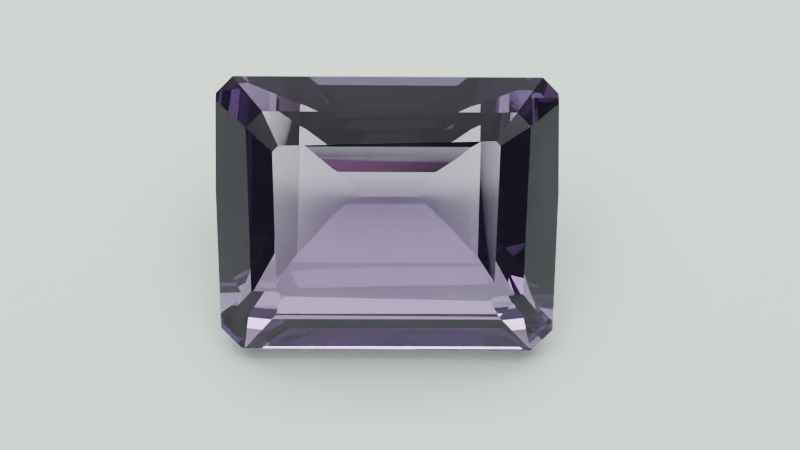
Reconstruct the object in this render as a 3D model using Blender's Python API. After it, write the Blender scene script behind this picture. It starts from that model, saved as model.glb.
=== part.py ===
"""A loose amethyst in an emerald (step) cut, lying on one of its pavilion facets.

The stone is ground out of a block one facet at a time, first in the cutter's frame:
X runs along the stone, Y across it, the girdle lies in the XY plane and +Z is the way
the table faces. Each facet is the plane through one level line, which is given by its
distance from the stone's middle and its height, at a slope from the girdle's plane.
The finished stone is then tipped onto the front facet that it rests on.
"""

import math
from typing import NamedTuple

import bmesh
import bpy
from mathutils import Matrix, Vector

MM = 0.001

# Girdle: the outline seen from above the table.
LENGTH = 20.0 * MM
WIDTH = 16.15 * MM
GIRDLE_THICKNESS = 0.4 * MM
END_BOW = 1.2  # degrees that each half of an end's wall leans back
END_BOW_AT = 1.4 * MM  # the two halves meet this far behind the middle

# Crown: heights above the girdle's upper edge.
RING_HEIGHT = 2.12 * MM
TABLE_HEIGHT = 2.82 * MM
TABLE_LEAN = 0.6  # degrees that the table faces towards the right end

# Grinding.
BLOCK_SIZE = 2 * LENGTH
SNAP = 0.004 * MM  # points this close to a cut count as lying on it
WELD = 0.02 * MM  # shorter edges are drawn together to one point


class Side(NamedTuple):
    """One side of the stone. Insets are measured inwards from the girdle."""

    direction: float  # degrees from +X that the side faces
    reach: float  # from the stone's middle to the girdle
    ring_inset: float  # to the edge between the two crown steps
    table_inset: float  # to the table's edge
    crown_turn: float  # degrees that its crown facets are turned off the direction
    pavilion_turn: float  # the same for its pavilion facets
    steps: tuple  # (slope in degrees, inset of the upper edge) of each pavilion facet


class Corner(NamedTuple):
    """One cut corner of the stone, between an end and a long side."""

    direction: float
    cut: float  # taken off each wall at the girdle
    ring_cut: float  # the same off the edge between the crown's steps
    table_cut: float  # the same off the table
    slope: float  # of its pavilion facet
    lower_slope: float  # of the facet below that
    lower_inset: float  # where that one starts


SIDES = {
    "right": Side(0, LENGTH / 2, 1.98 * MM, 3.85 * MM, -1.6, -0.8,
                  ((53, 0), (41.1, 0.24 * MM), (31.2, 4.57 * MM), (26.6, 6.03 * MM))),
    "back": Side(90, WIDTH / 2, 1.81 * MM, 3.52 * MM, 0.0, 0.1,
                  ((66, 0), (44.1, 0.20 * MM), (35.3, 4.30 * MM), (26.1, 5.92 * MM))),
    "left": Side(180, LENGTH / 2, 2.17 * MM, 3.58 * MM, 1.1, -2.0,
                  ((57, 0), (41.7, 0.15 * MM), (32.3, 4.61 * MM), (26.1, 6.47 * MM))),
    "front": Side(270, WIDTH / 2, 2.54 * MM, 3.72 * MM, 0.0, 0.4,
                  ((58, 0), (41.0, 0.14 * MM), (31.6, 3.07 * MM), (28.8, 6.42 * MM))),
}
RESTING = ("front", 2)  # the side and the pavilion step that the stone lies on

CORNERS = {
    "back_left": Corner(135, 1.08 * MM, 0.84 * MM, 0.31 * MM, 46.3, 28, 4.6 * MM),
    "back_right": Corner(45, 1.03 * MM, 0.63 * MM, 0.10 * MM, 43.1, 28, 4.6 * MM),
    "front_right": Corner(315, 1.43 * MM, 1.47 * MM, 0.23 * MM, 41.1, 28, 4.6 * MM),
    "front_left": Corner(225, 1.36 * MM, 1.47 * MM, 0.40 * MM, 43.0, 28, 4.6 * MM),
}


def heading(degrees):
    """Return the level unit vector that points this many degrees round from +X."""
    angle = math.radians(degrees)
    return Vector((math.cos(angle), math.sin(angle), 0.0))


def facet_normal(degrees, slope, up):
    """Return the outward normal of a facet that slopes down (crown) or up (pavilion)."""
    angle = math.radians(slope)
    level = heading(degrees) * math.sin(angle)
    return level + Vector((0.0, 0.0, math.cos(angle) if up else -math.cos(angle)))


def grind(stone, point, normal):
    """Grind away all of the stone beyond a plane, and close the new facet."""
    everything = stone.verts[:] + stone.edges[:] + stone.faces[:]
    cut = bmesh.ops.bisect_plane(
        stone, geom=everything, dist=SNAP, plane_co=point, plane_no=normal, clear_outer=True)
    rim = [e for e in cut["geom_cut"] if isinstance(e, bmesh.types.BMEdge) and e.is_boundary]
    if rim:
        bmesh.ops.edgeloop_fill(stone, edges=rim)
        bmesh.ops.recalc_face_normals(stone, faces=stone.faces[:])


def grind_between(stone, degrees, direction, low, high):
    """Grind the crown facet through two level lines, each a distance out and a height."""
    slope = math.degrees(math.atan2(high[1] - low[1], low[0] - high[0]))
    point = heading(direction) * low[0] + Vector((0.0, 0.0, low[1]))
    grind(stone, point, facet_normal(degrees, slope, up=True))


def grind_girdle(stone):
    """Grind the upright walls: bowed ends, straight long sides and cut corners."""
    for name, side in SIDES.items():
        on_end = name in ("left", "right")
        point = heading(side.direction) * side.reach
        if not on_end:
            grind(stone, point, heading(side.direction))
            continue
        point.y = END_BOW_AT
        for lean in (END_BOW, -END_BOW):
            grind(stone, point, heading(side.direction + lean))
    for corner in CORNERS.values():
        point = heading(corner.direction) * corner_distance(0.0, corner.cut)
        grind(stone, point, heading(corner.direction))


def corner_distance(inset, cut):
    """Return how far a corner's level line is from the middle, at 45 degrees."""
    return ((LENGTH + WIDTH) / 2 - 2 * inset - cut) * math.sqrt(0.5)


def beside(corner):
    """Return the end and the long side that meet at a corner."""
    faces = heading(corner.direction)
    return [side for side in SIDES.values() if heading(side.direction).dot(faces) > 0]


def grind_crown(stone):
    """Grind the table and the two steps of facets around it."""
    girdle_top = GIRDLE_THICKNESS / 2
    ring_z = girdle_top + RING_HEIGHT
    table_z = girdle_top + TABLE_HEIGHT
    grind(stone, Vector((0.0, 0.0, table_z)), facet_normal(0, TABLE_LEAN, up=True))
    for side in SIDES.values():
        girdle = (side.reach, girdle_top)
        ring = (side.reach - side.ring_inset, ring_z)
        table = (side.reach - side.table_inset, table_z)
        turned = side.direction + side.crown_turn
        grind_between(stone, turned, side.direction, girdle, ring)
        grind_between(stone, turned, side.direction, ring, table)
    for corner in CORNERS.values():
        neighbours = beside(corner)
        ring_inset = sum(side.ring_inset for side in neighbours) / 2
        table_inset = sum(side.table_inset for side in neighbours) / 2
        girdle = (corner_distance(0.0, corner.cut), girdle_top)
        ring = (corner_distance(ring_inset, corner.ring_cut), ring_z)
        table = (corner_distance(table_inset, corner.table_cut), table_z)
        grind_between(stone, corner.direction, corner.direction, girdle, ring)
        grind_between(stone, corner.direction, corner.direction, ring, table)


def step_edges(steps):
    """Return each pavilion facet's slope, with the inset and the height of its upper edge."""
    height = -GIRDLE_THICKNESS / 2
    edges = []
    for number, (slope, inset) in enumerate(steps):
        if number:
            upper_slope, upper_inset = steps[number - 1]
            height -= (inset - upper_inset) * math.tan(math.radians(upper_slope))
        edges.append((slope, inset, height))
    return edges


def pavilion_facets(direction, turned, reach, steps):
    """Return the point and the outward normal of each pavilion facet of a side or corner."""
    return [(heading(direction) * (reach - inset) + Vector((0.0, 0.0, height)),
             facet_normal(turned, slope, up=False))
            for slope, inset, height in step_edges(steps)]


def side_pavilion(side):
    """Return the pavilion facets of one side."""
    turned = side.direction + side.pavilion_turn
    return pavilion_facets(side.direction, turned, side.reach, side.steps)


def grind_pavilion(stone):
    """Grind the steps below the girdle, which close along the keel."""
    for side in SIDES.values():
        for point, normal in side_pavilion(side):
            grind(stone, point, normal)
    for corner in CORNERS.values():
        steps = ((corner.slope, 0.0), (corner.lower_slope, corner.lower_inset))
        reach = corner_distance(0.0, corner.cut)
        for point, normal in pavilion_facets(corner.direction, corner.direction, reach, steps):
            grind(stone, point, normal)


def lay_down(stone):
    """Tip the stone onto its resting facet, with the origin under the middle of its box."""
    name, step = RESTING
    _, normal = side_pavilion(SIDES[name])[step]
    tip = normal.rotation_difference(Vector((0.0, 0.0, -1.0))).to_matrix().to_4x4()
    bmesh.ops.transform(stone, matrix=tip, verts=stone.verts[:])
    lows = [min(vert.co[axis] for vert in stone.verts) for axis in range(3)]
    highs = [max(vert.co[axis] for vert in stone.verts) for axis in range(3)]
    middle = Vector(((lows[0] + highs[0]) / 2, (lows[1] + highs[1]) / 2, lows[2]))
    bmesh.ops.transform(stone, matrix=Matrix.Translation(-middle), verts=stone.verts[:])


def amethyst_material():
    """Return clear purple quartz."""
    material = bpy.data.materials.new("amethyst")
    material.use_nodes = True
    shader = material.node_tree.nodes["Principled BSDF"]
    shader.inputs["Base Color"].default_value = (0.42, 0.30, 0.50, 1.0)
    shader.inputs["Roughness"].default_value = 0.02
    shader.inputs["Metallic"].default_value = 0.0
    shader.inputs["IOR"].default_value = 1.55
    shader.inputs["Transmission Weight"].default_value = 1.0
    return material


def build_amethyst():
    """Cut the stone and put it in the scene."""
    stone = bmesh.new()
    bmesh.ops.create_cube(stone, size=BLOCK_SIZE)
    grind_girdle(stone)
    grind_crown(stone)
    grind_pavilion(stone)
    bmesh.ops.remove_doubles(stone, verts=stone.verts[:], dist=WELD)
    lay_down(stone)
    mesh = bpy.data.meshes.new("amethyst")
    stone.to_mesh(mesh)
    stone.free()
    mesh.materials.append(amethyst_material())
    amethyst = bpy.data.objects.new("amethyst", mesh)
    bpy.context.scene.collection.objects.link(amethyst)
    return amethyst


for leftover in list(bpy.data.objects):
    bpy.data.objects.remove(leftover)
build_amethyst()
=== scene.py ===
import math

import bpy
from mathutils import Matrix, Vector


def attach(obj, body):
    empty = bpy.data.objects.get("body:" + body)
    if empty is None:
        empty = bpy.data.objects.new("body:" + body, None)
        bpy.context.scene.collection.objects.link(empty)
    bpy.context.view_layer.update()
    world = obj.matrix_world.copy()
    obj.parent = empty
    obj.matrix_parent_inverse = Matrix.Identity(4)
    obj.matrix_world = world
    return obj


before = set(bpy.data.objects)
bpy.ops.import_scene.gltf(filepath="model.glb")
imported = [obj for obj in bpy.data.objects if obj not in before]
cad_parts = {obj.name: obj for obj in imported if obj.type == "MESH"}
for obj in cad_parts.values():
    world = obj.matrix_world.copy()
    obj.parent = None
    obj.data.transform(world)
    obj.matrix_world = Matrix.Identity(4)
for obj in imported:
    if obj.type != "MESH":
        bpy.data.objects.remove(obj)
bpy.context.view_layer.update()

MM = 0.001
STONE = bpy.data.objects["amethyst"]

# The stone's own axis leans this far from upright, to the front.
LEAN = 31.6
STONE_AXIS = Vector((0.0, -math.sin(math.radians(LEAN)), math.cos(math.radians(LEAN))))

# Camera, looking steeply down at the stone.
AIM = Vector((0.78, -0.68, 5.15)) * MM
CAMERA_DISTANCE = 85.2 * MM
CAMERA_ELEVATION = 68.4
CAMERA_AZIMUTH = 3.4
CAMERA_ROLL = -2.8
CAMERA_LENS = 65.6
SENSOR_WIDTH = 36.0
CLIP_START = 1 * MM
CLIP_END = 10.0

# Clear quartz, tinted through its depth, with slightly pinker and bluer zones.
QUARTZ_IOR = 1.55
ABSORPTION_COLOR = (0.55, 0.39, 0.64)
ABSORPTION_DENSITY = 108.0  # per metre
PINK_ZONE = (1.0, 0.955, 0.985)
BLUE_ZONE = (0.955, 0.965, 1.0)
ZONE_GRADIENT = (40.0, 30.0)  # from pink to blue per metre of X and of Y
ZONE_CLOUD = 0.4  # how far clouds push that gradient either way
ZONE_REACH = 0.6  # the gradient's value where a zone's full colour is reached

# Finish of the surface, and painted shade that darkens the girdle. Noise scales are per metre.
POLISH_ROUGHNESS = 0.01
POLISH_RELIEF = 0.01  # of the girdle's
GIRDLE_ROUGHNESS = (0.15, 0.3)
# Painted shade: this colour darkens the frosted girdle band, standing in for the shade that falls
# on it.
GIRDLE_PAINTED_SHADE = (0.85, 0.83, 0.88)
GIRDLE_TILT = 0.1  # largest part of a girdle face's normal along the stone's axis
BUMP_STRENGTH = 0.3
BUMP_DISTANCE = 0.01 * MM
CLOUD_SCALE = 260.0
POLISH_SCALE = 700.0
MARKS_SCALE = 3000.0
GRAIN_SCALE = 6000.0
NOISE_RANGE = (0.3, 0.7)  # where most of a noise texture's values lie

# Studio.
PANEL_SIZE = (0.8, 0.34)
PANEL_POWER = 3.6
PANEL_ELEVATION = 60
PANEL_AZIMUTH = 180
PANEL_DISTANCE = 0.5
ROOM_FRONT = (0.035, 0.045, 0.04)
ROOM_SIDE = (0.10, 0.12, 0.11)
ROOM_BACK = (0.50, 0.52, 0.50)

# Soft patches of light: azimuth, elevation, inner and outer half-angle, colour.
PATCHES = (
    (0, 90, 8, 14, (0.75, 0.80, 0.75)),  # ceiling
    (180, 30, 10, 25, (0.50, 0.52, 0.50)),  # below the window
    (90, 65, 8, 14, (2.0, 2.0, 2.0)),  # right and left fills
    (-90, 65, 8, 14, (1.8, 1.8, 1.8)),
    (-8, 8, 8, 14, (0.44, 0.36, 0.37)),  # warm and low in front
)

FLOOR_SIZE = 3.0  # metres
FLOOR_GAP = 0.02 * MM  # the air between the floor and the facet that rests on it
FLOOR_COLOR = (0.82, 0.92, 0.84)
FLOOR_ROUGHNESS = 0.9
FLOOR_SPECULAR = 0.1


def toward(azimuth, elevation):
    """Return the unit vector to a place in the room: azimuth 0 is the front, 180 the back."""
    a, e = math.radians(azimuth), math.radians(elevation)
    return Vector((math.sin(a) * math.cos(e), -math.cos(a) * math.cos(e), math.sin(e)))


def make_camera():
    """Put the camera at the photograph's viewing angle."""
    camera_data = bpy.data.cameras.new("camera")
    camera_data.sensor_width = SENSOR_WIDTH
    camera_data.lens = CAMERA_LENS
    camera_data.clip_start = CLIP_START
    camera_data.clip_end = CLIP_END
    camera = bpy.data.objects.new("camera", camera_data)
    bpy.context.scene.collection.objects.link(camera)
    back = toward(CAMERA_AZIMUTH, CAMERA_ELEVATION)
    camera.location = AIM + back * CAMERA_DISTANCE
    roll = Matrix.Rotation(math.radians(CAMERA_ROLL), 4, "Z")
    turn = (-back).to_track_quat("-Z", "Y").to_matrix().to_4x4() @ roll
    camera.rotation_euler = turn.to_euler()
    bpy.context.scene.camera = camera


def make_window():
    """Hang a soft panel behind and above the stone, facing it."""
    panel_data = bpy.data.lights.new("window", "AREA")
    panel_data.shape = "RECTANGLE"
    panel_data.size, panel_data.size_y = PANEL_SIZE
    panel_data.energy = PANEL_POWER
    panel = bpy.data.objects.new("window", panel_data)
    bpy.context.scene.collection.objects.link(panel)
    away = toward(PANEL_AZIMUTH, PANEL_ELEVATION)
    panel.location = away * PANEL_DISTANCE
    panel.rotation_euler = away.to_track_quat("Z", "Y").to_euler()


def add_node(tree, kind, **values):
    """Add a shader node and set its inputs by name."""
    node = tree.nodes.new(kind)
    for name, value in values.items():
        node.inputs[name.replace("_", " ")].default_value = value
    return node


def mix_colors(tree, factor, first, second, blend="MIX"):
    """Blend two colours, each a socket or a colour."""
    node = tree.nodes.new("ShaderNodeMix")
    node.data_type = "RGBA"
    node.blend_type = blend
    tree.links.new(factor, node.inputs["Factor"])
    for socket, value in zip([i for i in node.inputs if i.type == "RGBA"], (first, second)):
        if isinstance(value, tuple):
            socket.default_value = (*value, 1.0)
        else:
            tree.links.new(value, socket)
    return [o for o in node.outputs if o.type == "RGBA"][0]


def make_world():
    """Fill the room with soft light: dim at the front, brighter at the back, with soft patches."""
    world = bpy.data.worlds.new("room")
    world.use_nodes = True
    tree = world.node_tree
    nodes, links = tree.nodes, tree.links
    direction = nodes.new("ShaderNodeTexCoord").outputs["Generated"]
    split = nodes.new("ShaderNodeSeparateXYZ")
    links.new(direction, split.inputs["Vector"])
    shift = add_node(tree, "ShaderNodeMapRange", From_Min=-1.0)
    links.new(split.outputs["Y"], shift.inputs["Value"])
    ramp = nodes.new("ShaderNodeValToRGB")
    ramp.color_ramp.elements[0].color = (*ROOM_FRONT, 1.0)
    ramp.color_ramp.elements[1].color = (*ROOM_BACK, 1.0)
    ramp.color_ramp.elements.new(0.5).color = (*ROOM_SIDE, 1.0)
    links.new(shift.outputs["Result"], ramp.inputs["Fac"])
    light = ramp.outputs["Color"]
    for azimuth, elevation, inner, outer, color in PATCHES:
        facing = nodes.new("ShaderNodeVectorMath")
        facing.operation = "DOT_PRODUCT"
        facing.inputs[1].default_value = toward(azimuth, elevation)
        links.new(direction, facing.inputs[0])
        edge = add_node(tree, "ShaderNodeMapRange", From_Min=math.cos(math.radians(outer)),
                        From_Max=math.cos(math.radians(inner)))
        edge.interpolation_type = "SMOOTHSTEP"
        links.new(facing.outputs["Value"], edge.inputs["Value"])
        light = mix_colors(tree, edge.outputs["Result"], light, color, blend="ADD")
    links.new(light, nodes["Background"].inputs["Color"])
    bpy.context.scene.world = world


def make_floor():
    """Lay a plain pale floor."""
    bpy.ops.mesh.primitive_plane_add(size=FLOOR_SIZE, location=(0.0, 0.0, -FLOOR_GAP))
    floor = bpy.context.object
    floor.name = "floor"
    material = bpy.data.materials.new("floor")
    material.use_nodes = True
    shader = material.node_tree.nodes["Principled BSDF"]
    shader.inputs["Base Color"].default_value = (*FLOOR_COLOR, 1.0)
    shader.inputs["Roughness"].default_value = FLOOR_ROUGHNESS
    shader.inputs["Specular IOR Level"].default_value = FLOOR_SPECULAR
    floor.data.materials.append(material)


def noise(tree, coordinates, scale, detail):
    """Add a noise texture on the stone's own coordinates."""
    texture = add_node(tree, "ShaderNodeTexNoise", Scale=scale, Detail=detail, Roughness=0.5)
    tree.links.new(coordinates, texture.inputs["Vector"])
    return texture.outputs["Fac"]


def spread(tree, value, low, high, at_low=0.0, at_high=1.0):
    """Map a value from one range, held to its ends, onto another."""
    node = add_node(tree, "ShaderNodeMapRange", From_Min=low, From_Max=high,
                    To_Min=at_low, To_Max=at_high)
    tree.links.new(value, node.inputs["Value"])
    return node.outputs["Result"]


def math_node(tree, operation, first, second):
    """Add a sum, a product or the like of two values, each a socket or a number."""
    node = tree.nodes.new("ShaderNodeMath")
    node.operation = operation
    for socket, value in zip(node.inputs, (first, second)):
        if isinstance(value, (int, float)):
            socket.default_value = value
        else:
            tree.links.new(value, socket)
    return node.outputs["Value"]


def girdle_mask(tree):
    """Return 1 on the upright band of the girdle and 0 on the polished facets."""
    normal = tree.nodes.new("ShaderNodeTexCoord").outputs["Normal"]
    facing = tree.nodes.new("ShaderNodeVectorMath")
    facing.operation = "DOT_PRODUCT"
    facing.inputs[1].default_value = STONE_AXIS
    tree.links.new(normal, facing.inputs[0])
    tilt = math_node(tree, "ABSOLUTE", facing.outputs["Value"], 0.0)
    return math_node(tree, "LESS_THAN", tilt, GIRDLE_TILT)


def color_zones(tree, coordinates):
    """Blend from the pinker left front to the bluer right back, in soft uneven zones."""
    split = tree.nodes.new("ShaderNodeSeparateXYZ")
    tree.links.new(coordinates, split.inputs["Vector"])
    lengthwise = math_node(tree, "MULTIPLY", split.outputs["X"], ZONE_GRADIENT[0])
    across = math_node(tree, "MULTIPLY", split.outputs["Y"], ZONE_GRADIENT[1])
    place = math_node(tree, "ADD", lengthwise, across)
    cloud = spread(tree, noise(tree, coordinates, CLOUD_SCALE, 2.0), *NOISE_RANGE,
                   -ZONE_CLOUD, ZONE_CLOUD)
    blend = spread(tree, math_node(tree, "ADD", place, cloud), -ZONE_REACH, ZONE_REACH)
    return mix_colors(tree, blend, PINK_ZONE, BLUE_ZONE)


def quartz_material():
    """Clear purple quartz: polished facets with faint marks, and a frosted girdle band darkened by
    painted shade.
    """
    material = bpy.data.materials.new("amethyst")
    material.use_nodes = True
    tree = material.node_tree
    shader = tree.nodes["Principled BSDF"]
    shader.inputs["IOR"].default_value = QUARTZ_IOR
    shader.inputs["Transmission Weight"].default_value = 1.0
    absorption = tree.nodes.new("ShaderNodeVolumeAbsorption")
    absorption.inputs["Color"].default_value = (*ABSORPTION_COLOR, 1.0)
    absorption.inputs["Density"].default_value = ABSORPTION_DENSITY
    tree.links.new(absorption.outputs["Volume"], tree.nodes["Material Output"].inputs["Volume"])

    coordinates = tree.nodes.new("ShaderNodeTexCoord").outputs["Object"]
    girdle_frost_and_shade = girdle_mask(tree)
    grain = noise(tree, coordinates, GRAIN_SCALE, 4.0)
    # Colour zones on the facets, and painted shade that darkens the girdle band.
    zones_and_girdle_shade = mix_colors(tree, girdle_frost_and_shade, color_zones(tree, coordinates), GIRDLE_PAINTED_SHADE)
    tree.links.new(zones_and_girdle_shade, shader.inputs["Base Color"])

    polish = spread(tree, noise(tree, coordinates, POLISH_SCALE, 3.0), *NOISE_RANGE,
                    0.0, POLISH_ROUGHNESS)
    frost = spread(tree, grain, *NOISE_RANGE, *GIRDLE_ROUGHNESS)
    rough = math_node(tree, "MAXIMUM", polish, math_node(tree, "MULTIPLY", girdle_frost_and_shade, frost))
    tree.links.new(rough, shader.inputs["Roughness"])

    marks = noise(tree, coordinates, MARKS_SCALE, 2.0)
    relief = math_node(tree, "ADD", math_node(tree, "MULTIPLY", marks, POLISH_RELIEF),
                       math_node(tree, "MULTIPLY", grain, girdle_frost_and_shade))
    bump = add_node(tree, "ShaderNodeBump", Strength=BUMP_STRENGTH, Distance=BUMP_DISTANCE)
    tree.links.new(relief, bump.inputs["Height"])
    tree.links.new(bump.outputs["Normal"], shader.inputs["Normal"])
    return material


make_camera()
make_world()
make_floor()
make_window()
STONE.data.materials.clear()
STONE.data.materials.append(quartz_material())
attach(STONE, "root")

scene = bpy.context.scene
scene.view_settings.view_transform = "AgX"
scene.view_settings.look = "AgX - Medium High Contrast"
scene.cycles.max_bounces = 24
scene.cycles.glossy_bounces = 12
scene.cycles.transmission_bounces = 16
